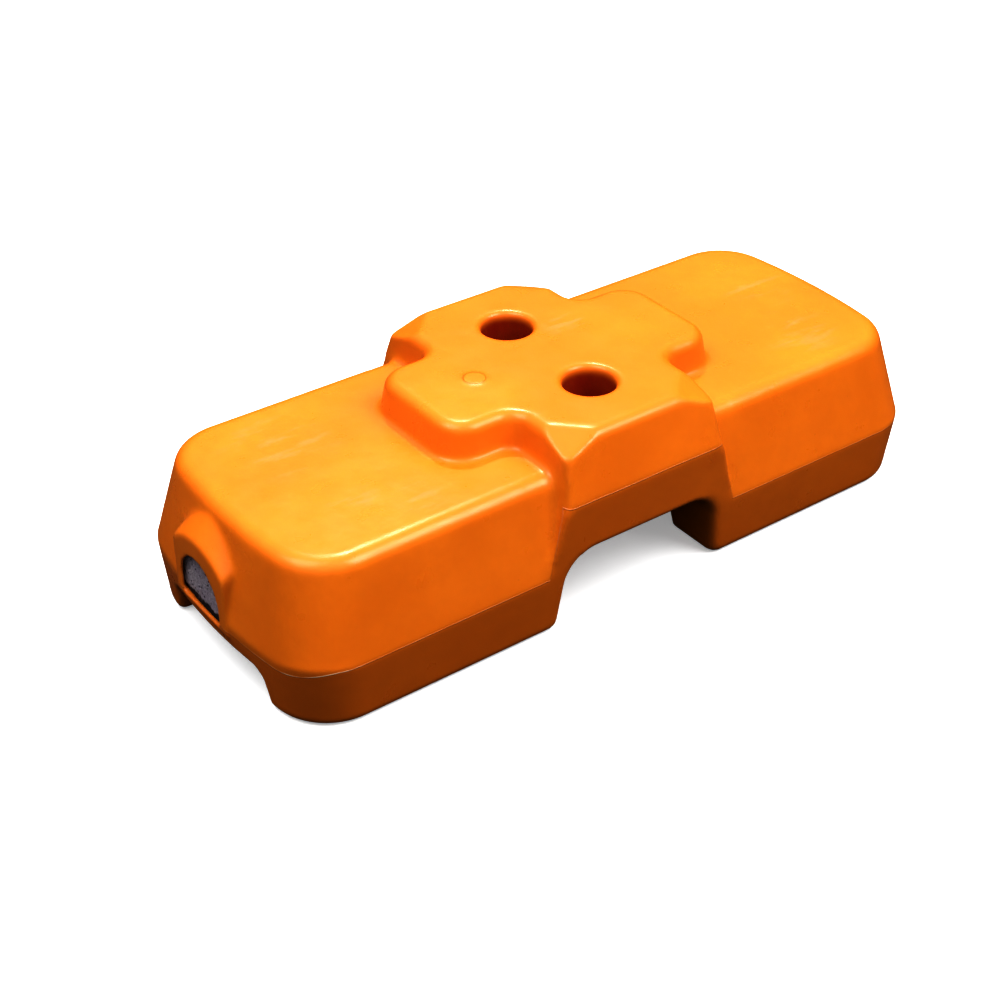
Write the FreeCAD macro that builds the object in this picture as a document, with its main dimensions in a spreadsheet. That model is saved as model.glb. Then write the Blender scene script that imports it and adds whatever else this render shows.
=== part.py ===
import FreeCAD, Part
import math
import os
import Sketcher
from FreeCAD import Placement, Rotation, Vector

# A ballast foot for temporary fence and barrier panels: a hollow blow-moulded plastic shell,
# filled with concrete through a mouth in one end.
# Millimetres. +X is along the foot, +Y across it, +Z up; the origin is on the ground under
# the middle of the foot.

doc = FreeCAD.newDocument("barrier_foot")

# ---------------------------------------------------------------- driving dimensions
sizes = doc.addObject("Spreadsheet::Sheet", "sizes")
driving_dimensions = {
    # the two wings
    "length": 600,
    "width": 242,
    "height": 155,
    "wall_thickness": 3,
    "parting_height": 52,        # where the two mould halves meet along the wings
    "deck_height": 127.5,        # top of the wings
    "end_radius": 515,           # the ends are bowed outwards
    "corner_radius": 48,
    "ground_taper": 4.5,         # how far the lower half pulls in at the ground
    "deck_taper": 18,            # how far the upper half pulls in at the deck
    "deck_rounding": 13,
    "ground_rounding": 8,
    # the raised cross: a block across the middle and a lobe along each wing
    "block_top_length": 136,
    "block_top_width": 219,
    "lobe_top_length": 244,
    "lobe_top_width": 104,
    "block_corner_radius": 7,
    "lobe_corner_radius": 25,
    "lobe_root_radius": 15,
    "cross_rounding": 10,
    "cross_root_radius": 5,
    # the block's crown, where it is widest; below it the sides drop to the parting line
    "crown_height": 107.5,
    "crown_length": 148,
    "crown_width": 246,
    "crown_lobe_length": 259,
    "crown_lobe_width": 114,
    "skirt_length": 176,
    # the sloping facet on each corner of the block
    "facet_slope": 27,
    "facet_width": 60,
    "facet_length": 40,
    "facet_depth": 40,
    "facet_x": 48,
    "facet_y": 94,
    # upright holes for the panel's posts
    "post_hole_radius": 20,
    "post_hole_spacing": 102,
    "post_hole_lip": 5.5,
    # underside: two crossing channels that leave four feet
    "channel_height": 63.5,
    "channel_foot_width": 152,
    "channel_roof_width": 137,
    "channel_radius": 27,
    "grip_height": 31,
    "grip_foot_width": 134,
    "grip_roof_width": 122,
    "grip_radius": 12,
    "foot_corner_radius": 6,
    "foot_edge_radius": 4,
    # the boss on one end and the filling mouth in it
    "boss_off_centre": 7.5,
    "boss_foot": 41,
    "boss_front_half_width": 36,
    "boss_front_shoulder": 88,
    "boss_front_crown": 101,
    "boss_back_reach": 281,
    "boss_back_half_width": 39,
    "boss_back_shoulder": 99,
    "boss_back_crown": 121,
    "boss_shoulder_radius": 5,
    "boss_thinning": 0.9,        # blowing stretches the wall most there
    "mouth_off_centre": 9,
    "mouth_foot": 44.5,
    "mouth_half_width": 26,
    "mouth_shoulder": 62,
    "mouth_crown": 85,
    "mouth_depth": 6,
    "fill_recess": 1.5,          # how far the concrete stands back from the mouth's inner edge
    # the round insert mark on top of one lobe
    "mark_radius": 8.75,
    "mark_height": 0.8,
    "mark_x": 67,
}
for row, (alias, number) in enumerate(driving_dimensions.items(), start=1):
    sizes.set(f"A{row}", alias)
    sizes.set(f"B{row}", str(number))
    sizes.setAlias(f"B{row}", alias)
doc.recompute()


def value_of(expression):
    """The number that an expression on the sheet's cells gives."""
    return float(sizes.evalExpression(expression.replace("sizes.", "")))


# Edges to be rounded are picked by where they lie; this keeps their neighbours out.
MARGIN = 5


# ---------------------------------------------------------------- sketches
def new_sketch(body, name, plane_role, offset="0"):
    """A sketch on one of the body's own origin planes, moved along its normal by the offset."""
    plane = next(p for p in body.Origin.OriginFeatures if p.Role == plane_role)
    sketch = body.newObject("Sketcher::SketchObject", name)
    sketch.AttachmentSupport = [(plane, "")]
    sketch.MapMode = "FlatFace"
    sketch.setExpression(".AttachmentOffset.Base.z", offset)
    return sketch


def bind(sketch, kind, name, expression, *where):
    """Add one dimension to the sketch and bind it to the sheet."""
    index = sketch.addConstraint(Sketcher.Constraint(kind, *where, value_of(expression)))
    sketch.renameConstraint(index, name)
    sketch.setExpression(f"Constraints.{name}", expression)


def polygon(body, name, plane_role, offset, corners):
    """A closed polygon; each corner is a pair of expressions."""
    sketch = new_sketch(body, name, plane_role, offset)
    points = [Vector(value_of(x), value_of(y), 0) for x, y in corners]
    count = len(points)
    for index in range(count):
        sketch.addGeometry(Part.LineSegment(points[index], points[(index + 1) % count]))
    for index in range(count):
        sketch.addConstraint(Sketcher.Constraint("Coincident", index, 2, (index + 1) % count, 1))
    for index, (x, y) in enumerate(corners):
        bind(sketch, "DistanceX", f"x{index}", x, -1, 1, index, 1)
        bind(sketch, "DistanceY", f"y{index}", y, -1, 1, index, 1)
    return sketch


def bowed_outline(body, name, offset, half_length, half_width):
    """A rectangle whose two short ends are bowed outwards."""
    sketch = new_sketch(body, name, "XY_Plane", offset)
    side = value_of(half_width)
    end_radius = value_of("sizes.end_radius")
    centre = end_radius - value_of(half_length)
    sweep = math.asin(side / end_radius)
    end_x = end_radius * math.cos(sweep) - centre

    def add_end(centre_x, middle_angle):
        circle = Part.Circle(Vector(centre_x, 0, 0), Vector(0, 0, 1), end_radius)
        sketch.addGeometry(Part.ArcOfCircle(circle, middle_angle - sweep, middle_angle + sweep))

    near, right, far, left = range(4)
    sketch.addGeometry(Part.LineSegment(Vector(-end_x, -side, 0), Vector(end_x, -side, 0)))
    add_end(-centre, 0)
    sketch.addGeometry(Part.LineSegment(Vector(end_x, side, 0), Vector(-end_x, side, 0)))
    add_end(centre, math.pi)
    for index in range(4):
        sketch.addConstraint(Sketcher.Constraint("Coincident", index, 2, (index + 1) % 4, 1))
    for line in (near, far):
        sketch.addConstraint(Sketcher.Constraint("Horizontal", line))
    for end in (right, left):
        sketch.addConstraint(Sketcher.Constraint("PointOnObject", end, 3, -1))
    sketch.addConstraint(Sketcher.Constraint("Equal", right, left))
    centre_distance = f"sizes.end_radius - ({half_length})"
    bind(sketch, "Radius", "end", "sizes.end_radius", right)
    bind(sketch, "DistanceY", "near_side", half_width, near, 1, -1, 1)
    bind(sketch, "DistanceY", "far_side", half_width, -1, 1, far, 1)
    bind(sketch, "DistanceX", "right_centre", centre_distance, right, 3, -1, 1)
    bind(sketch, "DistanceX", "left_centre", centre_distance, -1, 1, left, 3)
    return sketch


def arched_outline(body, name, offset, off_centre, half_width, foot, shoulder, crown):
    """Seen along X: a flat foot, two upright sides and an arched top."""
    sketch = new_sketch(body, name, "YZ_Plane", offset)
    low_side = f"{off_centre} - ({half_width})"
    high_side = f"{off_centre} + ({half_width})"
    y_low, y_high = value_of(low_side), value_of(high_side)
    z_foot, z_shoulder = value_of(foot), value_of(shoulder)
    top = Vector(value_of(off_centre), value_of(crown), 0)
    bottom, right, arch, left = range(4)
    sketch.addGeometry(Part.LineSegment(Vector(y_low, z_foot, 0), Vector(y_high, z_foot, 0)))
    sketch.addGeometry(Part.LineSegment(Vector(y_high, z_foot, 0), Vector(y_high, z_shoulder, 0)))
    sketch.addGeometry(Part.Arc(Vector(y_high, z_shoulder, 0), top, Vector(y_low, z_shoulder, 0)))
    sketch.addGeometry(Part.LineSegment(Vector(y_low, z_shoulder, 0), Vector(y_low, z_foot, 0)))
    for index in range(4):
        sketch.addConstraint(Sketcher.Constraint("Coincident", index, 2, (index + 1) % 4, 1))
    sketch.addConstraint(Sketcher.Constraint("Horizontal", bottom))
    for side in (right, left):
        sketch.addConstraint(Sketcher.Constraint("Vertical", side))
    rise = f"(({crown}) - ({shoulder}))"
    bind(sketch, "DistanceX", "low_side", low_side, -1, 1, bottom, 1)
    bind(sketch, "DistanceX", "high_side", high_side, -1, 1, bottom, 2)
    bind(sketch, "DistanceY", "foot", foot, -1, 1, bottom, 1)
    bind(sketch, "DistanceY", "high_shoulder", shoulder, -1, 1, right, 2)
    bind(sketch, "DistanceY", "low_shoulder", shoulder, -1, 1, left, 1)
    bind(sketch, "Radius", "arch", f"(({half_width})^2 + {rise}^2) / (2 * {rise})", arch)
    return sketch


def circles(body, name, offset, radius, centres):
    """Equal circles seen from above; each centre is a pair of expressions."""
    sketch = new_sketch(body, name, "XY_Plane", offset)
    for index, (x, y) in enumerate(centres):
        centre = Vector(value_of(x), value_of(y), 0)
        sketch.addGeometry(Part.Circle(centre, Vector(0, 0, 1), value_of(radius)))
        bind(sketch, "Radius", f"radius{index}", radius, index)
        bind(sketch, "DistanceX", f"x{index}", x, -1, 1, index, 3)
        bind(sketch, "DistanceY", f"y{index}", y, -1, 1, index, 3)
    return sketch


# ---------------------------------------------------------------- features
def finish(feature):
    """Recompute, and stop if the feature has failed."""
    doc.recompute()
    failed = "Invalid" in feature.State or "Error" in feature.State
    if failed or feature.Shape.isNull() or not feature.Shape.isValid():
        raise RuntimeError(f"{feature.Label} failed: {feature.State}")
    return feature


def loft(body, name, sections, kind="AdditiveLoft"):
    """Flat-sided walls between outlines, listed from the highest or foremost one."""
    feature = body.newObject(f"PartDesign::{kind}", name)
    feature.Profile = sections[0]
    feature.Sections = sections[1:]
    feature.Ruled = True
    return finish(feature)


def pocket(body, name, sketch, length):
    """Cut a sketch's outline through the body, half the length to each side of the sketch."""
    before = body.Shape.Volume
    feature = body.newObject("PartDesign::Pocket", name)
    feature.Profile = sketch
    feature.SideType = "Symmetric"
    feature.setExpression("Length", length)
    finish(feature)
    if feature.Shape.Volume >= before:
        raise RuntimeError(f"{name} cuts nothing")
    return feature


def middle(edge):
    return edge.valueAt((edge.FirstParameter + edge.LastParameter) / 2)


def is_level(edge, height):
    """True for an edge that lies flat at this height."""
    return abs(edge.BoundBox.ZMin - height) < 0.1 and abs(edge.BoundBox.ZMax - height) < 0.1


def is_upright(edge):
    box = edge.BoundBox
    return box.ZLength > MARGIN and max(box.XLength, box.YLength) < 0.6 * box.ZLength


def fillet(body, name, radius, wanted):
    """Round every edge of the body so far that is wanted."""
    base = body.Tip
    edges = [f"Edge{i}" for i, edge in enumerate(base.Shape.Edges, start=1) if wanted(edge)]
    if not edges:
        raise RuntimeError(f"{name} finds no edge")
    feature = body.newObject("PartDesign::Fillet", name)
    feature.Base = (base, edges)
    feature.setExpression("Radius", radius)
    return finish(feature)


# ---------------------------------------------------------------- the moulded form
# The skin's outside and the space inside it are the same form, built twice: once at full size
# and once with every face set in by the wall. Each function takes that inset as an expression.
def add_wings(body, inset):
    """Two mould halves that both narrow away from the parting line, with rounded corners."""
    half_length = f"(sizes.length / 2 - {inset})"
    half_width = f"(sizes.width / 2 - {inset})"
    deck = bowed_outline(body, "deck_outline", f"sizes.deck_height - {inset}",
                         f"{half_length} - sizes.deck_taper", f"{half_width} - sizes.deck_taper")
    parting = bowed_outline(body, "parting_outline", "sizes.parting_height",
                            half_length, half_width)
    ground = bowed_outline(body, "ground_outline", inset,
                           f"{half_length} - sizes.ground_taper",
                           f"{half_width} - sizes.ground_taper")
    loft(body, "wings", [deck, parting, ground])
    deck_z = value_of(f"sizes.deck_height - {inset}")
    ground_z = value_of(inset)
    fillet(body, "wing_corners", f"sizes.corner_radius - {inset}", is_upright)
    fillet(body, "deck_edge", f"sizes.deck_rounding - {inset}", lambda e: is_level(e, deck_z))
    fillet(body, "ground_edge", f"sizes.ground_rounding - {inset}",
           lambda e: is_level(e, ground_z))


def add_skirt(body, inset):
    """The block's sides below the crown, which spread along the foot down to the parting line."""
    sections = []
    levels = (("crown", "sizes.crown_height", "sizes.crown_length", "sizes.crown_width"),
              ("parting", "sizes.parting_height", "sizes.skirt_length", "sizes.width"))
    for level, height, length, width in levels:
        x = f"({length} / 2 - {inset})"
        y = f"({width} / 2 - {inset})"
        corners = [(f"-{x}", f"-{y}"), (x, f"-{y}"), (x, y), (f"-{x}", y)]
        sections.append(polygon(body, f"skirt_{level}", "XY_Plane", height, corners))
    loft(body, "skirt", sections)


def add_fill_boss(body, inset):
    """The arched boss on the -X end that carries the filling mouth."""
    def outline(level, reach):
        return arched_outline(body, f"boss_{level}",
                              f"-({reach} - {inset} * sizes.boss_thinning)",
                              "sizes.boss_off_centre",
                              f"sizes.boss_{level}_half_width - {inset}",
                              f"sizes.boss_foot + {inset}",
                              f"sizes.boss_{level}_shoulder - {inset}",
                              f"sizes.boss_{level}_crown - {inset}")

    front = outline("front", "sizes.length / 2")
    back = outline("back", "sizes.boss_back_reach")
    loft(body, "boss", [front, back])
    if value_of(inset) == 0:
        back_reach = value_of("sizes.boss_back_reach")
        shoulder_z = value_of("sizes.boss_front_shoulder")

        def is_shoulder(edge):
            box = edge.BoundBox
            along_x = box.XLength > MARGIN and box.YLength < MARGIN
            return along_x and box.XMax < -back_reach and box.ZMin > shoulder_z - 0.1

        fillet(body, "boss_shoulders", "sizes.boss_shoulder_radius", is_shoulder)
        mouth = arched_outline(body, "mouth_outline", "-sizes.length / 2",
                               "sizes.mouth_off_centre", "sizes.mouth_half_width",
                               "sizes.mouth_foot", "sizes.mouth_shoulder", "sizes.mouth_crown")
        pocket(body, "mouth", mouth, "2 * sizes.mouth_depth")


def add_cross(body, inset):
    """The raised cross that another foot's underside stacks onto."""
    inset_mm = value_of(inset)

    def outline(level, height, names):
        block_x, block_y, lobe_x, lobe_y = [f"(sizes.{name} / 2 - {inset})" for name in names]
        quarter = [(lobe_x, lobe_y), (block_x, lobe_y), (block_x, block_y)]
        corners = [(x, f"-{y}") for x, y in reversed(quarter)]
        corners += quarter
        corners += [(f"-{x}", y) for x, y in reversed(quarter)]
        corners += [(f"-{x}", f"-{y}") for x, y in quarter]
        return polygon(body, f"cross_{level}", "XY_Plane", height, corners)

    top = outline("top", f"sizes.height - {inset}", (
        "block_top_length", "block_top_width", "lobe_top_length", "lobe_top_width"))
    crown = outline("crown", "sizes.crown_height", (
        "crown_length", "crown_width", "crown_lobe_length", "crown_lobe_width"))
    loft(body, "cross", [top, crown])

    top_z = value_of("sizes.height") - inset_mm
    root_x = value_of("sizes.crown_length / 2") + MARGIN
    root_y = value_of("sizes.crown_lobe_width / 2") + MARGIN

    def reaches_top(edge):
        return is_upright(edge) and edge.BoundBox.ZMax > top_z - 0.1

    fillet(body, "lobe_corners", f"sizes.lobe_corner_radius - {inset}",
           lambda e: reaches_top(e) and abs(middle(e).x) > root_x)
    fillet(body, "lobe_roots", f"sizes.lobe_root_radius + {inset}",
           lambda e: reaches_top(e) and abs(middle(e).x) < root_x and abs(middle(e).y) < root_y)
    for x_sign in (-1, 1):
        for y_sign in (-1, 1):
            add_facet(body, x_sign, y_sign, inset_mm)
    crown_z = value_of("sizes.crown_height")
    block_y = value_of("sizes.block_top_width / 2") - inset_mm

    def is_block_corner(edge):
        point = middle(edge)
        return (is_upright(edge) and point.z > crown_z and edge.BoundBox.ZLength > 15
                and abs(point.x) < root_x and abs(point.y) > block_y)

    fillet(body, "block_corners", f"sizes.block_corner_radius - {inset}", is_block_corner)
    fillet(body, "cross_edge", f"sizes.cross_rounding - {inset}", lambda e: is_level(e, top_z))
    if inset_mm == 0:
        deck_z = value_of("sizes.deck_height")
        lobe_x = value_of("sizes.crown_lobe_length / 2") + MARGIN
        fillet(body, "cross_roots", "sizes.cross_root_radius",
               lambda e: is_level(e, deck_z) and abs(middle(e).x) < lobe_x)


def add_facet(body, x_sign, y_sign, inset_mm):
    """Slice one top corner off the block with a sloping plane."""
    feature = body.newObject("PartDesign::SubtractiveBox", "facet")
    feature.setExpression("Length", "sizes.facet_length")
    feature.setExpression("Width", "sizes.facet_width")
    feature.setExpression("Height", "sizes.facet_depth")
    heading = Rotation(Vector(0, 0, 1), math.degrees(math.atan2(y_sign, x_sign)))
    turn = heading * Rotation(Vector(0, 1, 0), value_of("sizes.facet_slope"))
    start = Vector(x_sign * value_of("sizes.facet_x"), y_sign * value_of("sizes.facet_y"),
                   value_of("sizes.height"))
    half_width = value_of("sizes.facet_width / 2")
    feature.Placement = Placement(start + turn.multVec(Vector(0, -half_width, -inset_mm)), turn)
    finish(feature)


def add_underside(body, inset):
    """Two crossing channels, a deep one across and a shallow one along, that leave four feet."""
    inset_mm = value_of(inset)

    def channel(name, plane_role, kind, length):
        foot = f"(sizes.{kind}_foot_width / 2 + {inset})"
        roof = f"(sizes.{kind}_roof_width / 2 + {inset})"
        height = f"sizes.{kind}_height + {inset}"
        below = "-sizes.ground_rounding"
        corners = [(f"-{foot}", below), (foot, below), (foot, "0"), (roof, height),
                   (f"-{roof}", height), (f"-{foot}", "0")]
        pocket(body, name, polygon(body, f"{name}_outline", plane_role, "0", corners), length)
        roof_z = value_of(height)
        fillet(body, f"{name}_roof", f"sizes.{kind}_radius + {inset}",
               lambda e: is_level(e, roof_z) and e.Length > 150)

    channel("channel", "XZ_Plane", "channel", "2 * sizes.width")
    channel("grip", "YZ_Plane", "grip", "2 * sizes.length")
    if inset_mm == 0:
        inner_x = value_of("sizes.channel_foot_width / 2")
        roof_z = value_of("sizes.channel_height")
        side_y = value_of("sizes.width / 2 - 15")

        def is_foot_corner(edge):
            point = middle(edge)
            return (edge.BoundBox.ZLength > 8 and point.z < roof_z - 18
                    and inner_x - 15 < abs(point.x) < inner_x + 3 and abs(point.y) > side_y)

        fillet(body, "foot_corners", "sizes.foot_corner_radius", is_foot_corner)
        fillet(body, "foot_edges", "sizes.foot_edge_radius", lambda e: is_level(e, 0))


def add_post_holes(body, inset):
    """Two round holes down through the block, with rolled lips."""
    top_z = value_of(f"sizes.height - {inset}")
    radius = f"sizes.post_hole_radius + {inset}"
    half_spacing = "sizes.post_hole_spacing / 2"
    centres = [("0", f"-{half_spacing}"), ("0", half_spacing)]
    outline = circles(body, "post_hole_outline", "0", radius, centres)
    pocket(body, "post_holes", outline, "3 * sizes.height")
    diameter = 2 * value_of(radius)
    fillet(body, "post_hole_lips", "sizes.post_hole_lip",
           lambda e: is_level(e, top_z) and abs(e.BoundBox.XLength - diameter) < 0.1)


def add_insert_mark(body):
    """The shallow round mark that a mould insert leaves on one lobe."""
    outline = circles(body, "mark_outline", "sizes.height", "sizes.mark_radius",
                      [("-sizes.mark_x", "0")])
    feature = body.newObject("PartDesign::Pad", "insert_mark")
    feature.Profile = outline
    feature.setExpression("Length", "sizes.mark_height")
    finish(feature)


def moulded_form(name, inset):
    """The whole form, with every face set in by the inset."""
    body = doc.addObject("PartDesign::Body", name)
    add_wings(body, inset)
    add_skirt(body, inset)
    add_fill_boss(body, inset)
    add_cross(body, inset)
    add_underside(body, inset)
    add_post_holes(body, inset)
    return body


# ---------------------------------------------------------------- sub-parts
# The skin is the form less the inner form, so the post holes' walls are part of it too.
outside = moulded_form("outside_form", "0")
add_insert_mark(outside)
inside = moulded_form("inside_form", "sizes.wall_thickness")

shell = doc.addObject("Part::Cut", "shell")
shell.Base = outside
shell.Tool = inside

# The concrete fills the skin, and its face stands back a little inside the mouth.
fill_front = doc.addObject("Part::Box", "fill_front")
fill_front.setExpression("Length", "sizes.wall_thickness + sizes.fill_recess")
fill_front.setExpression("Width", "2 * sizes.boss_front_half_width")
fill_front.setExpression("Height", "sizes.height")
fill_front.setExpression(".Placement.Base.x", "-sizes.length / 2")
fill_front.setExpression(".Placement.Base.y",
                         "sizes.boss_off_centre - sizes.boss_front_half_width")
fill_front.setExpression(".Placement.Base.z", "sizes.boss_foot")

concrete_ballast = doc.addObject("Part::Cut", "concrete_ballast")
concrete_ballast.Base = inside
concrete_ballast.Tool = fill_front
doc.recompute()

# ---------------------------------------------------------------- check and write
for item in doc.Objects:
    if "Invalid" in item.State or "Error" in item.State:
        raise RuntimeError(f"{item.Label}: {item.State}")

sub_parts = (shell, concrete_ballast)
for part in sub_parts:
    shape = part.Shape
    if shape.isNull() or not shape.isValid() or len(shape.Solids) != 1:
        raise RuntimeError(f"{part.Label} isn't one valid solid")

os.makedirs("parts", exist_ok=True)
for part in sub_parts:
    part.Shape.exportStep(f"parts/{part.Label}.step")
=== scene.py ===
import math

import bpy
import numpy as np
from mathutils import Matrix, Vector


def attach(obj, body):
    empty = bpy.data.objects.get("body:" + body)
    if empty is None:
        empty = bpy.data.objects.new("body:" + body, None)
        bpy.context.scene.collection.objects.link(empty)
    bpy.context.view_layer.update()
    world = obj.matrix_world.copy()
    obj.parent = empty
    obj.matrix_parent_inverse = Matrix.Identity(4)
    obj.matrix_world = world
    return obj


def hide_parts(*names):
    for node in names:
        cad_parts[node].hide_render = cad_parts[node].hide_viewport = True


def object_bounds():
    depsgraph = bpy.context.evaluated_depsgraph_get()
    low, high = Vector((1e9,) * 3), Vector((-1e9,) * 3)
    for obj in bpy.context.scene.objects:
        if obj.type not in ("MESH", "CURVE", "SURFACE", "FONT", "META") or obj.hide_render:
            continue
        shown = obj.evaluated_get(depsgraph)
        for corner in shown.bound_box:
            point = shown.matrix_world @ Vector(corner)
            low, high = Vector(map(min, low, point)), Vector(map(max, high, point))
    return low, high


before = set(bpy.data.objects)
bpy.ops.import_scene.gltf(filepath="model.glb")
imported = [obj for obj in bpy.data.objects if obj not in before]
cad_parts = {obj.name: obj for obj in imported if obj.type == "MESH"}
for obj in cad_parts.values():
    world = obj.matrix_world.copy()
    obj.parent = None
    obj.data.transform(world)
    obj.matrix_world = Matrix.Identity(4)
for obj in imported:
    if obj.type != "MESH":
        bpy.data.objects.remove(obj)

# A blow-moulded ballast foot for fence and barrier panels. Metres, in the CAD part's frame:
# +X along the foot, away from the filling mouth, +Z up, origin on the ground.

scene = bpy.context.scene
cad_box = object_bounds()
MM = 0.001

# Sizes that the CAD part has too.
PARTING_HEIGHT = 52 * MM
CROWN_HEIGHT = 107.5 * MM
SKIRT_HALF_LENGTH = 88 * MM
CROWN_HALF_LENGTH = 74 * MM
POST_HOLE_RADIUS = 20 * MM
POST_HOLE_Y = 51 * MM
MARK_RADIUS = 8.75 * MM
MARK_X = -67 * MM
TOP = 155 * MM
BOSS_Y = 7.5 * MM
CONCRETE_FACE_X = -295.5 * MM

# Sizes that only this model has.
SHELL_VOXEL = 1.5 * MM
CONCRETE_VOXEL = 2.5 * MM
CONCRETE_ROUGHNESS = 0.6 * MM
BOWED_END = 262 * MM         # from the middle to where the bowed ends begin
BOWED_END_TIP = 296 * MM
EDGE_REACH = 10 * MM         # how far a blunt edge is softened to either side
FLASH_SINK = 6 * MM          # how far the parting line sinks across the ends
FLASH_HALF_WIDTH = 0.7 * MM
FLOOR_REACH = 6.0

# Where the plastic has been rubbed: the middle and reach of each patch on the decks, in metres,
# and the two corners of the foot where the flash is bare.
RUBBED_PATCHES = (((-0.208, 0.045, 0.127), 0.055), ((-0.205, -0.05, 0.127), 0.03),
                  ((-0.165, -0.07, 0.127), 0.025), ((0.21, -0.055, 0.127), 0.045),
                  ((0.235, 0.02, 0.127), 0.04), ((0.04, 0.03, 0.155), 0.03))
BARE_CORNERS = ((-0.275, -0.105, 0.048), (0.285, 0.09, 0.048))
BARE_CORNER_REACH = 65 * MM

# Colours, in linear light.
ORANGE = (0.83, 0.228, 0.010)
PALER_ORANGE = (0.90, 0.262, 0.014)
CLOUDY_ORANGE = (0.78, 0.213, 0.010)
RUBBED_ORANGE = (0.92, 0.27, 0.12)
EDGE_WEAR_AND_HIGHLIGHT = (0.95, 0.36, 0.09)
HOLLOW_SHADE = (0.55, 0.10, 0.008)
LOWER_HALF_SHADE = (0.42, 0.09, 0.003)
FLASH_SHADOW = (0.5, 0.10, 0.006)
BARE_FLASH = (1.0, 0.72, 0.5)
MARK_RIM_SHADE = (0.55, 0.11, 0.008)
HOLE_SHADE = (0.30, 0.020, 0.004)
DARK_SPECK = (0.35, 0.07, 0.01)
BOUNCED_ORANGE = (0.35, 0.15, 0.03)
DARK_SAND = (0.36, 0.31, 0.35)
PALE_SAND = (0.60, 0.54, 0.60)
DAMP_BLOTCH = (0.29, 0.23, 0.32)
CONCRETE_PIT = (0.06, 0.045, 0.06)
RAGGED_EDGE_SHADE = (0.015, 0.006, 0.008)
FLOOR_TO_CAMERA = (0.85, 0.85, 0.85)
FLOOR_TO_OBJECT = (0.03, 0.03, 0.03)

# The photo's camera, worked out from the holes and edges in it. Angles are in degrees.
CAMERA_AIM = Vector((-63.36, -26.48, 60.0)) * MM
CAMERA_AZIMUTH = -36.16
CAMERA_ELEVATION = 34.56
CAMERA_DISTANCE = 1342.6 * MM
CAMERA_ROLL = -0.13
CAMERA_LENS = 64.05
CAMERA_SENSOR = 36
EXPOSURE = 0.46
GAMMA = 0.64


# ---------------------------------------------------------------- shapes


def copy_of_node(node, name):
    """A new piece that starts as a copy of a CAD node's mesh."""
    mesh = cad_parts[node].data.copy()
    mesh.name = name
    mesh.materials.clear()
    piece = bpy.data.objects.new(name, mesh)
    scene.collection.objects.link(piece)
    return piece


def bake_modifiers(piece):
    """Turn the piece's modifiers into its mesh."""
    bpy.context.view_layer.update()
    evaluated = piece.evaluated_get(bpy.context.evaluated_depsgraph_get())
    mesh = bpy.data.meshes.new_from_object(evaluated)
    piece.modifiers.clear()
    piece.data = mesh
    mesh.name = piece.name


def remesh(piece, voxel):
    """Even out the mesh, so that its edges can be softened."""
    modifier = piece.modifiers.new("even_mesh", "REMESH")
    modifier.mode = "VOXEL"
    modifier.voxel_size = voxel
    modifier.use_smooth_shade = True
    bake_modifiers(piece)


def relax(piece, turns, weights=None):
    """Soften the edges. Weights, one per vertex, keep the softening to a part of the mesh."""
    modifier = piece.modifiers.new("soft_edges", "SMOOTH")
    modifier.iterations = turns
    modifier.factor = 0.5
    if weights is not None:
        group = piece.vertex_groups.new(name="softened")
        for weight in np.unique(weights[weights > 0]):
            members = np.flatnonzero(weights == weight).tolist()
            group.add(members, float(weight), "REPLACE")
        modifier.vertex_group = group.name
    bake_modifiers(piece)
    piece.vertex_groups.clear()


def vertices_of(piece):
    points = np.empty(len(piece.data.vertices) * 3, np.float32)
    piece.data.vertices.foreach_get("co", points)
    return points.reshape(-1, 3)


def between(values, low, high):
    return (values > low) & (values < high)


def make_shell():
    """The skin, with the soft edges and deep fillets that blow moulding gives it."""
    shell = copy_of_node("shell", "moulded_shell")
    remesh(shell, SHELL_VOXEL)
    relax(shell, turns=5)

    # The block's ends run into the wings' sides in a wide hollow fillet.
    x, y, z = np.abs(vertices_of(shell).T)
    hollow = between(x, 70 * MM, 98 * MM) & between(y, 96 * MM, 119 * MM) & (z > 56 * MM)
    relax(shell, turns=40, weights=hollow * 1.0)

    # The mould's edges are blunt where the sides turn at the parting line and at the crown.
    x, y, z = np.abs(vertices_of(shell).T)
    outer = (y > 100 * MM) | (x > BOWED_END)
    parting_edge = outer & between(z, PARTING_HEIGHT - EDGE_REACH, PARTING_HEIGHT + EDGE_REACH)
    near_crown = between(z, CROWN_HEIGHT - EDGE_REACH, CROWN_HEIGHT + EDGE_REACH)
    crown_edge = (y > 112 * MM) & near_crown
    skirt_edge = (y > 117 * MM) & between(x, 66 * MM, 96 * MM) & (z > 44 * MM)
    facet_edge = between(x, 36 * MM, 80 * MM) & between(y, 66 * MM, 114 * MM) & (z > 122 * MM)
    softness = np.maximum.reduce([parting_edge * 0.3, crown_edge * 0.6, skirt_edge * 1.0,
                                  facet_edge * 0.6])
    relax(shell, turns=22, weights=softness)

    # The boss round the filling mouth has a well rounded front.
    x, y, z = vertices_of(shell).T
    from_middle = np.abs(y - BOSS_Y)
    boss_edge = (x < -284 * MM) & (from_middle < 50 * MM) & (z < 124 * MM)
    boss_edge &= (z > 90 * MM) | ((from_middle > 31 * MM) & (z > 48 * MM))
    relax(shell, turns=14, weights=boss_edge * 1.0)

    # The four feet have rounder corners towards the channel.
    x, y, z = np.abs(vertices_of(shell).T)
    foot_corner = between(x, 58 * MM, 82 * MM) & (y > 108 * MM) & (z < 70 * MM)
    relax(shell, turns=25, weights=foot_corner * 1.0)

    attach(shell, "root")
    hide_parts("shell")
    return shell


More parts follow.
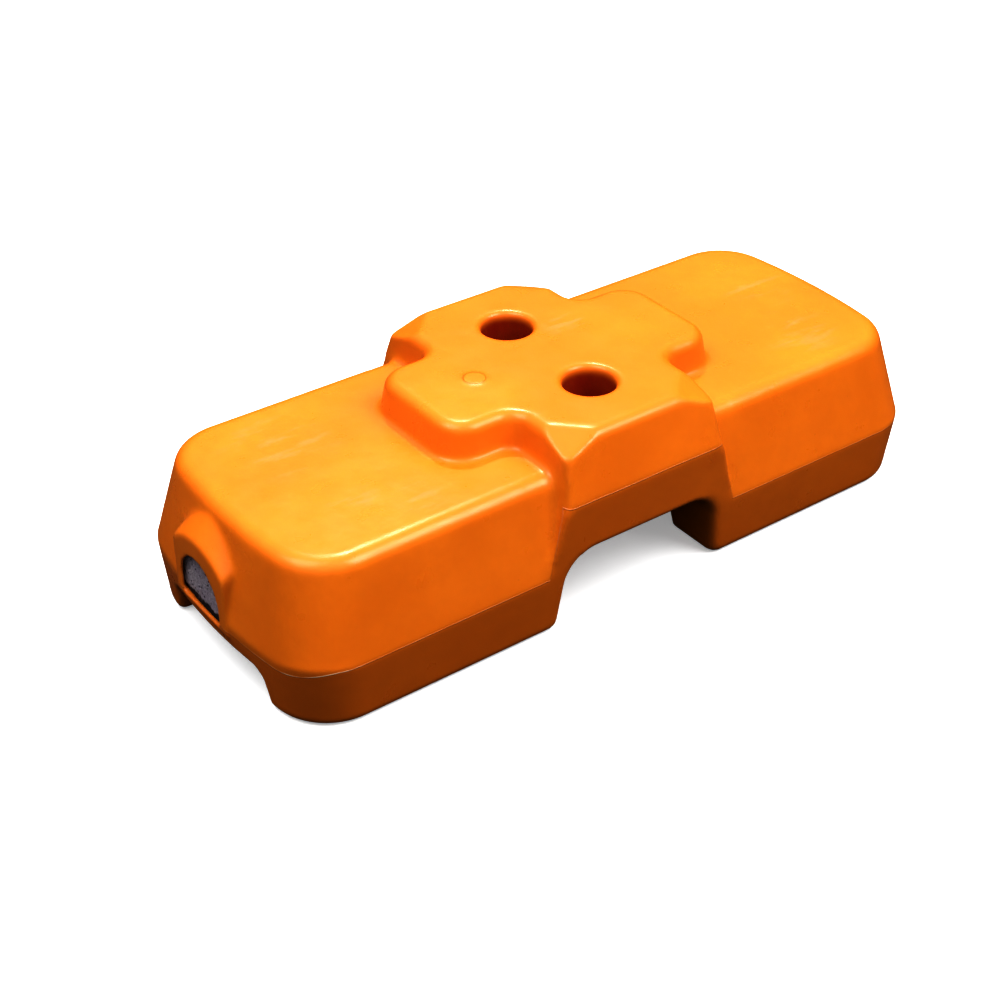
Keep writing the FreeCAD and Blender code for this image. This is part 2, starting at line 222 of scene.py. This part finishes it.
def make_concrete():
    """The ballast: its face in the mouth is rough and a little uneven."""
    concrete = copy_of_node("concrete_ballast", "cast_concrete")
    remesh(concrete, CONCRETE_VOXEL)
    points = vertices_of(concrete)
    in_mouth = np.abs(points[:, 0] - CONCRETE_FACE_X) < 0.8 * MM
    in_mouth &= np.abs(points[:, 1] - BOSS_Y) < 34 * MM
    random = np.random.default_rng(7)
    points[in_mouth, 0] += random.uniform(-CONCRETE_ROUGHNESS, CONCRETE_ROUGHNESS, in_mouth.sum())
    concrete.data.vertices.foreach_set("co", points.ravel())
    concrete.data.update()
    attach(concrete, "root")
    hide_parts("concrete_ballast")
    return concrete


def make_floor():
    mesh = bpy.data.meshes.new("floor")
    ways = ((-1, -1), (1, -1), (1, 1), (-1, 1))
    corners = [(x * FLOOR_REACH, y * FLOOR_REACH, 0) for x, y in ways]
    mesh.from_pydata(corners, [], [(0, 1, 2, 3)])
    floor = bpy.data.objects.new("floor", mesh)
    floor.location.z = cad_box[0][2]
    scene.collection.objects.link(floor)
    return floor


# ---------------------------------------------------------------- materials


class Shading:
    """Short names for the nodes that the materials are built from."""

    def __init__(self, name):
        self.material = bpy.data.materials.new(name)
        self.material.use_nodes = True
        self.tree = self.material.node_tree
        self.shader = self.tree.nodes["Principled BSDF"]
        self.place = self.add("ShaderNodeTexCoord").outputs["Object"]

    def add(self, kind, **settings):
        node = self.tree.nodes.new(kind)
        for name, value in settings.items():
            setattr(node, name, value)
        return node

    def put(self, socket, value):
        """Link an output to the socket, or set the socket to a number or colour."""
        if isinstance(value, bpy.types.NodeSocket):
            self.tree.links.new(value, socket)
        elif isinstance(value, tuple) and len(value) == 3 and len(socket.default_value) == 4:
            socket.default_value = (*value, 1)
        else:
            socket.default_value = value

    def surface(self, settings):
        """Set the shader's inputs by name, and hand back the finished material."""
        for name, value in settings.items():
            self.put(self.shader.inputs[name], value)
        return self.material

    def maths(self, operation, first, second=0.0, clamp=False):
        node = self.add("ShaderNodeMath", operation=operation, use_clamp=clamp)
        self.put(node.inputs[0], first)
        self.put(node.inputs[1], second)
        return node.outputs[0]

    def scaled(self, stretch):
        """The object's coordinates, stretched along each axis."""
        node = self.add("ShaderNodeMapping")
        self.put(node.inputs["Vector"], self.place)
        node.inputs["Scale"].default_value = stretch
        return node.outputs[0]

    def noise(self, scale, detail=3.0, roughness=0.5, vector=None):
        node = self.add("ShaderNodeTexNoise")
        self.put(node.inputs["Vector"], vector or self.place)
        node.inputs["Scale"].default_value = scale
        node.inputs["Detail"].default_value = detail
        node.inputs["Roughness"].default_value = roughness
        return node.outputs[0]

    def ramp(self, value, low, high, out_low=0.0, out_high=1.0, shape="SMOOTHSTEP"):
        """Map low..high onto out_low..out_high and hold it at both ends."""
        node = self.add("ShaderNodeMapRange", interpolation_type=shape)
        self.put(node.inputs["Value"], value)
        for name, number in (("From Min", low), ("From Max", high),
                             ("To Min", out_low), ("To Max", out_high)):
            self.put(node.inputs[name], number)
        return node.outputs[0]

    def mix(self, factor, first, second):
        node = self.add("ShaderNodeMix", data_type="RGBA")
        self.put(node.inputs["Factor"], factor)
        self.put(node.inputs["A"], first)
        self.put(node.inputs["B"], second)
        return node.outputs["Result"]

    def bump(self, height, distance, normal=None):
        node = self.add("ShaderNodeBump")
        self.put(node.inputs["Height"], height)
        node.inputs["Distance"].default_value = distance
        if normal is not None:
            self.put(node.inputs["Normal"], normal)
        return node.outputs[0]

    def near(self, centre, reach):
        """1 at a point, falling to 0 at the reach."""
        node = self.add("ShaderNodeVectorMath", operation="DISTANCE")
        self.put(node.inputs[0], self.place)
        node.inputs[1].default_value = centre
        return self.ramp(node.outputs["Value"], reach, 0.3 * reach)

    def axes(self):
        """The object's coordinates, one by one."""
        node = self.add("ShaderNodeSeparateXYZ")
        self.put(node.inputs[0], self.place)
        return node.outputs

    def off_axis(self, x, y):
        """Distance from an upright axis; a positive y also stands for the one at -y."""
        axes = self.axes()
        away_x = self.maths("SUBTRACT", axes["X"], x)
        away_y = self.maths("SUBTRACT", self.maths("ABSOLUTE", axes["Y"]), y)
        squares = self.maths("ADD", self.maths("POWER", away_x, 2), self.maths("POWER", away_y, 2))
        return self.maths("SQRT", squares)


def above_parting(look):
    """Height above the line where the mould halves met. The line runs level along the wings,
    sinks a little at the ends and climbs the block's corners to the crown."""
    axes = look.axes()
    along = look.maths("ABSOLUTE", axes["X"])
    climb = look.ramp(along, SKIRT_HALF_LENGTH, CROWN_HALF_LENGTH, PARTING_HEIGHT, CROWN_HEIGHT,
                      shape="LINEAR")
    wander = look.maths("MULTIPLY", look.maths("SUBTRACT", look.noise(25), 0.5), 1.2 * MM)
    sinks = look.ramp(along, BOWED_END, BOWED_END_TIP, 0.0, FLASH_SINK)
    height = look.maths("SUBTRACT", look.maths("ADD", climb, wander), sinks)
    return look.maths("SUBTRACT", axes["Z"], height)


def orange_plastic():
    """Semi-gloss polyethylene: faint flow marks, a fine grain, rubbed decks, and edges that are
    rubbed and carry a painted highlight; painted shade in hollows, post holes and the lower half.
    """
    look = Shading("orange_polyethylene")

    # Colour: a slow drift between two oranges, and a finer cloudiness.
    drift = look.ramp(look.noise(9, 4), 0.35, 0.65)
    cloud = look.ramp(look.noise(70, 5, 0.6), 0.3, 0.7)
    colour = look.mix(drift, ORANGE, PALER_ORANGE)
    colour = look.mix(look.maths("MULTIPLY", cloud, 0.25), colour, CLOUDY_ORANGE)

    # Rubbed patches on the decks, streaked along the foot.
    streaks = look.ramp(look.noise(60, 6, 0.65, look.scaled((0.35, 1.6, 1.0))), 0.5, 0.66)
    rubbed = 0.0
    for centre, reach in RUBBED_PATCHES:
        rubbed = look.maths("MAXIMUM", rubbed, look.near(centre, reach))
    rubbed = look.maths("MULTIPLY", rubbed, streaks)
    colour = look.mix(look.maths("MULTIPLY", rubbed, 0.3), colour, RUBBED_ORANGE)

    # Wear and painted light: edges that stand out are paler and rougher, partly from wear and
    # partly as a painted highlight; hollows are darkened with painted shade.
    shape = look.add("ShaderNodeNewGeometry").outputs["Pointiness"]
    edge = look.ramp(shape, 0.505, 0.56)
    hollow = look.ramp(shape, 0.495, 0.45)
    edge_break = look.ramp(look.noise(120, 4, 0.6), 0.4, 0.6)
    wear_and_highlight = look.maths("MULTIPLY", edge, edge_break)
    # Convex edges paler: wear, and a painted highlight.
    colour = look.mix(look.maths("MULTIPLY", wear_and_highlight, 0.25), colour, EDGE_WEAR_AND_HIGHLIGHT)
    # Concave places darker: painted shade.
    colour = look.mix(look.maths("MULTIPLY", hollow, 0.15), colour, HOLLOW_SHADE)

    # Painted shade dulls everything below the parting line.
    height = above_parting(look)
    lower_half_shade = look.ramp(height, 4 * MM, -4 * MM)
    lower_half_shade = look.maths("MULTIPLY", lower_half_shade, look.ramp(look.noise(18, 3), 0.3, 0.7, 0.32, 0.44))
    colour = look.mix(lower_half_shade, colour, LOWER_HALF_SHADE)

    # The parting line: a hair of flash, drawn as a fine line of painted shadow, pale where a
    # corner of the foot has been rubbed.
    line = look.ramp(look.maths("ABSOLUTE", height), FLASH_HALF_WIDTH, 0.2 * MM)
    line_break = look.ramp(look.noise(35, 4, 0.6), 0.38, 0.55, 0.15, 1.0)
    bare = 0.12
    for centre in BARE_CORNERS:
        bare = look.maths("MAXIMUM", bare, look.near(centre, BARE_CORNER_REACH))
    pale_line = look.maths("MULTIPLY", look.maths("MULTIPLY", line, line_break), bare)
    colour = look.mix(look.maths("MULTIPLY", line, 0.14), colour, FLASH_SHADOW)
    colour = look.mix(pale_line, colour, BARE_FLASH)

    # The insert mark: a disc that stands out a little, with a fine ring of painted shade round its
    # edge.
    off_mark = look.off_axis(MARK_X, 0.0)
    on_top = look.ramp(look.axes()["Z"], TOP - 3 * MM, TOP - 1 * MM)
    rim_shade = look.ramp(look.maths("ABSOLUTE", look.maths("SUBTRACT", off_mark, MARK_RADIUS)),
                     0.8 * MM, 0.2 * MM)
    disc = look.maths("MULTIPLY", look.ramp(off_mark, MARK_RADIUS, MARK_RADIUS - 1 * MM), on_top)
    rim_shade = look.maths("MULTIPLY", rim_shade, on_top)
    colour = look.mix(look.maths("MULTIPLY", rim_shade, 0.25), colour, MARK_RIM_SHADE)

    # Painted shade darkens the walls of the post holes, below the lips.
    off_hole = look.off_axis(0.0, POST_HOLE_Y)
    in_hole = look.ramp(off_hole, POST_HOLE_RADIUS + 3 * MM, POST_HOLE_RADIUS + 0.5 * MM)
    below_lip = look.ramp(look.axes()["Z"], TOP - 1 * MM, TOP - 10 * MM)
    hole_shade = look.maths("MULTIPLY", in_hole, below_lip)
    hole_shade = look.maths("MULTIPLY", hole_shade, look.ramp(look.noise(50, 4), 0.2, 0.7, 0.85, 1.0))
    colour = look.mix(hole_shade, colour, HOLE_SHADE)

    # A scatter of tiny dark specks.
    specks = look.add("ShaderNodeTexVoronoi")
    look.put(specks.inputs["Vector"], look.place)
    specks.inputs["Scale"].default_value = 55
    speck = look.ramp(specks.outputs["Distance"], 0.05, 0.02)
    colour = look.mix(look.maths("MULTIPLY", speck, 0.12), colour, DARK_SPECK)

    # Light that bounces from one face to the next is held back, so hollows don't glow red.
    bounced = look.add("ShaderNodeLightPath").outputs["Is Diffuse Ray"]
    colour = look.mix(look.maths("MULTIPLY", bounced, 0.6), colour, BOUNCED_ORANGE)

    grain = look.noise(900, 2, 0.6)
    gloss = look.ramp(look.noise(40, 4), 0.3, 0.7, 0.27, 0.36)
    gloss = look.maths("ADD", gloss, look.maths("MULTIPLY", rubbed, 0.18))
    gloss = look.maths("ADD", gloss, look.maths("MULTIPLY", wear_and_highlight, 0.12), clamp=True)
    normal = look.bump(look.noise(28, 3), 0.6 * MM)
    normal = look.bump(grain, 0.05 * MM, normal)
    normal = look.bump(line, 0.25 * MM, normal)
    normal = look.bump(disc, 0.5 * MM, normal)
    normal = look.bump(look.maths("SUBTRACT", 1.0, speck), 0.05 * MM, normal)

    return look.surface({"Base Color": colour, "Roughness": gloss, "Normal": normal,
                         "Subsurface Weight": 0.04, "Subsurface Scale": 1.0,
                         "Subsurface Radius": (0.006, 0.0025, 0.0008)})


def rough_concrete():
    """Grey concrete with sand grains, pits and damp blotches."""
    look = Shading("rough_concrete")
    sand = look.noise(500, 6, 0.7)
    blotch = look.ramp(look.noise(60, 4), 0.35, 0.65)
    colour = look.mix(look.ramp(sand, 0.35, 0.65), DARK_SAND, PALE_SAND)
    colour = look.mix(look.maths("MULTIPLY", blotch, 0.4), colour, DAMP_BLOTCH)
    pits = look.add("ShaderNodeTexVoronoi")
    look.put(pits.inputs["Vector"], look.place)
    pits.inputs["Scale"].default_value = 260
    pit = look.ramp(pits.outputs["Distance"], 0.3, 0.1)
    colour = look.mix(look.maths("MULTIPLY", pit, 0.7), colour, CONCRETE_PIT)

    # The face is torn where it meets the mouth's lower edge, and darkened there with painted
    # shade.
    ragged_shade_height = look.maths("ADD", look.maths("MULTIPLY", look.noise(120, 4), 12 * MM),
                             look.axes()["Z"])
    ragged_shade = look.ramp(ragged_shade_height, 55 * MM, 51 * MM)
    colour = look.mix(ragged_shade, colour, RAGGED_EDGE_SHADE)
    normal = look.bump(sand, 1.2 * MM)
    normal = look.bump(look.maths("SUBTRACT", 1.0, pit), 1.0 * MM, normal)
    roughness = look.ramp(sand, 0.3, 0.7, 0.8, 0.98)
    return look.surface({"Base Color": colour, "Roughness": roughness, "Normal": normal})


def pale_floor():
    """Pale to the camera, and dark to the object, so that little light comes up from below."""
    look = Shading("pale_floor")
    seen = look.add("ShaderNodeLightPath").outputs["Is Camera Ray"]
    return look.surface({"Base Color": look.mix(seen, FLOOR_TO_OBJECT, FLOOR_TO_CAMERA),
                         "Roughness": 1.0, "Specular IOR Level": 0.0,
                         "Emission Color": (1.0, 1.0, 1.0),
                         "Emission Strength": look.maths("MULTIPLY", seen, 0.3)})


# ---------------------------------------------------------------- light and camera


def direction(azimuth, elevation):
    """Unit vector from the object: azimuth 0 is towards -Y and 90 towards +X."""
    azimuth, elevation = math.radians(azimuth), math.radians(elevation)
    level = math.cos(elevation)
    return Vector((math.sin(azimuth) * level, -math.cos(azimuth) * level, math.sin(elevation)))


def add_softbox(name, azimuth, elevation, distance, side, power):
    data = bpy.data.lights.new(name, "AREA")
    data.shape = "SQUARE"
    data.size = side
    data.energy = power
    lamp = bpy.data.objects.new(name, data)
    outwards = direction(azimuth, elevation)
    lamp.location = outwards * distance
    lamp.rotation_euler = outwards.to_track_quat("Z", "Y").to_euler()
    scene.collection.objects.link(lamp)


def add_dome():
    """White light from all round: dim at the level of the floor and bright overhead. The camera
    sees plain white behind the floor."""
    world = bpy.data.worlds.new("studio")
    world.use_nodes = True
    nodes, links = world.node_tree.nodes, world.node_tree.links
    heading = nodes.new("ShaderNodeTexCoord")
    height = nodes.new("ShaderNodeSeparateXYZ")
    glow = nodes.new("ShaderNodeMapRange")
    glow.interpolation_type = "SMOOTHSTEP"
    for name, number in (("From Min", 0.1), ("From Max", 1.0), ("To Min", 0.05), ("To Max", 1.05)):
        glow.inputs[name].default_value = number
    links.new(heading.outputs["Generated"], height.inputs[0])
    links.new(height.outputs["Z"], glow.inputs["Value"])
    strength = nodes.new("ShaderNodeMath")
    strength.operation = "MAXIMUM"
    links.new(glow.outputs[0], strength.inputs[0])
    links.new(nodes.new("ShaderNodeLightPath").outputs["Is Camera Ray"], strength.inputs[1])
    links.new(strength.outputs[0], nodes["Background"].inputs["Strength"])
    nodes["Background"].inputs["Color"].default_value = (1, 1, 1, 1)
    scene.world = world


def add_studio():
    """A soft dome, a small lamp behind and two high fills."""
    add_dome()
    add_softbox("back_lamp", azimuth=150, elevation=62, distance=1.8, side=0.12, power=11)
    add_softbox("front", azimuth=30, elevation=50, distance=2.0, side=1.0, power=21)
    add_softbox("left", azimuth=-90, elevation=60, distance=2.0, side=1.0, power=14)
    scene.view_settings.view_transform = "Standard"
    scene.view_settings.exposure = EXPOSURE
    scene.view_settings.gamma = GAMMA


def add_camera():
    data = bpy.data.cameras.new("camera")
    data.sensor_width = CAMERA_SENSOR
    data.lens = CAMERA_LENS
    camera = bpy.data.objects.new("camera", data)
    outwards = direction(CAMERA_AZIMUTH, CAMERA_ELEVATION)
    camera.location = CAMERA_AIM + outwards * CAMERA_DISTANCE
    upright = outwards.to_track_quat("Z", "Y").to_matrix()
    roll = Matrix.Rotation(math.radians(CAMERA_ROLL), 3, "Z")
    camera.rotation_euler = (upright @ roll).to_euler()
    scene.collection.objects.link(camera)
    scene.camera = camera


make_shell().data.materials.append(orange_plastic())
make_concrete().data.materials.append(rough_concrete())
make_floor().data.materials.append(pale_floor())
add_studio()
add_camera()
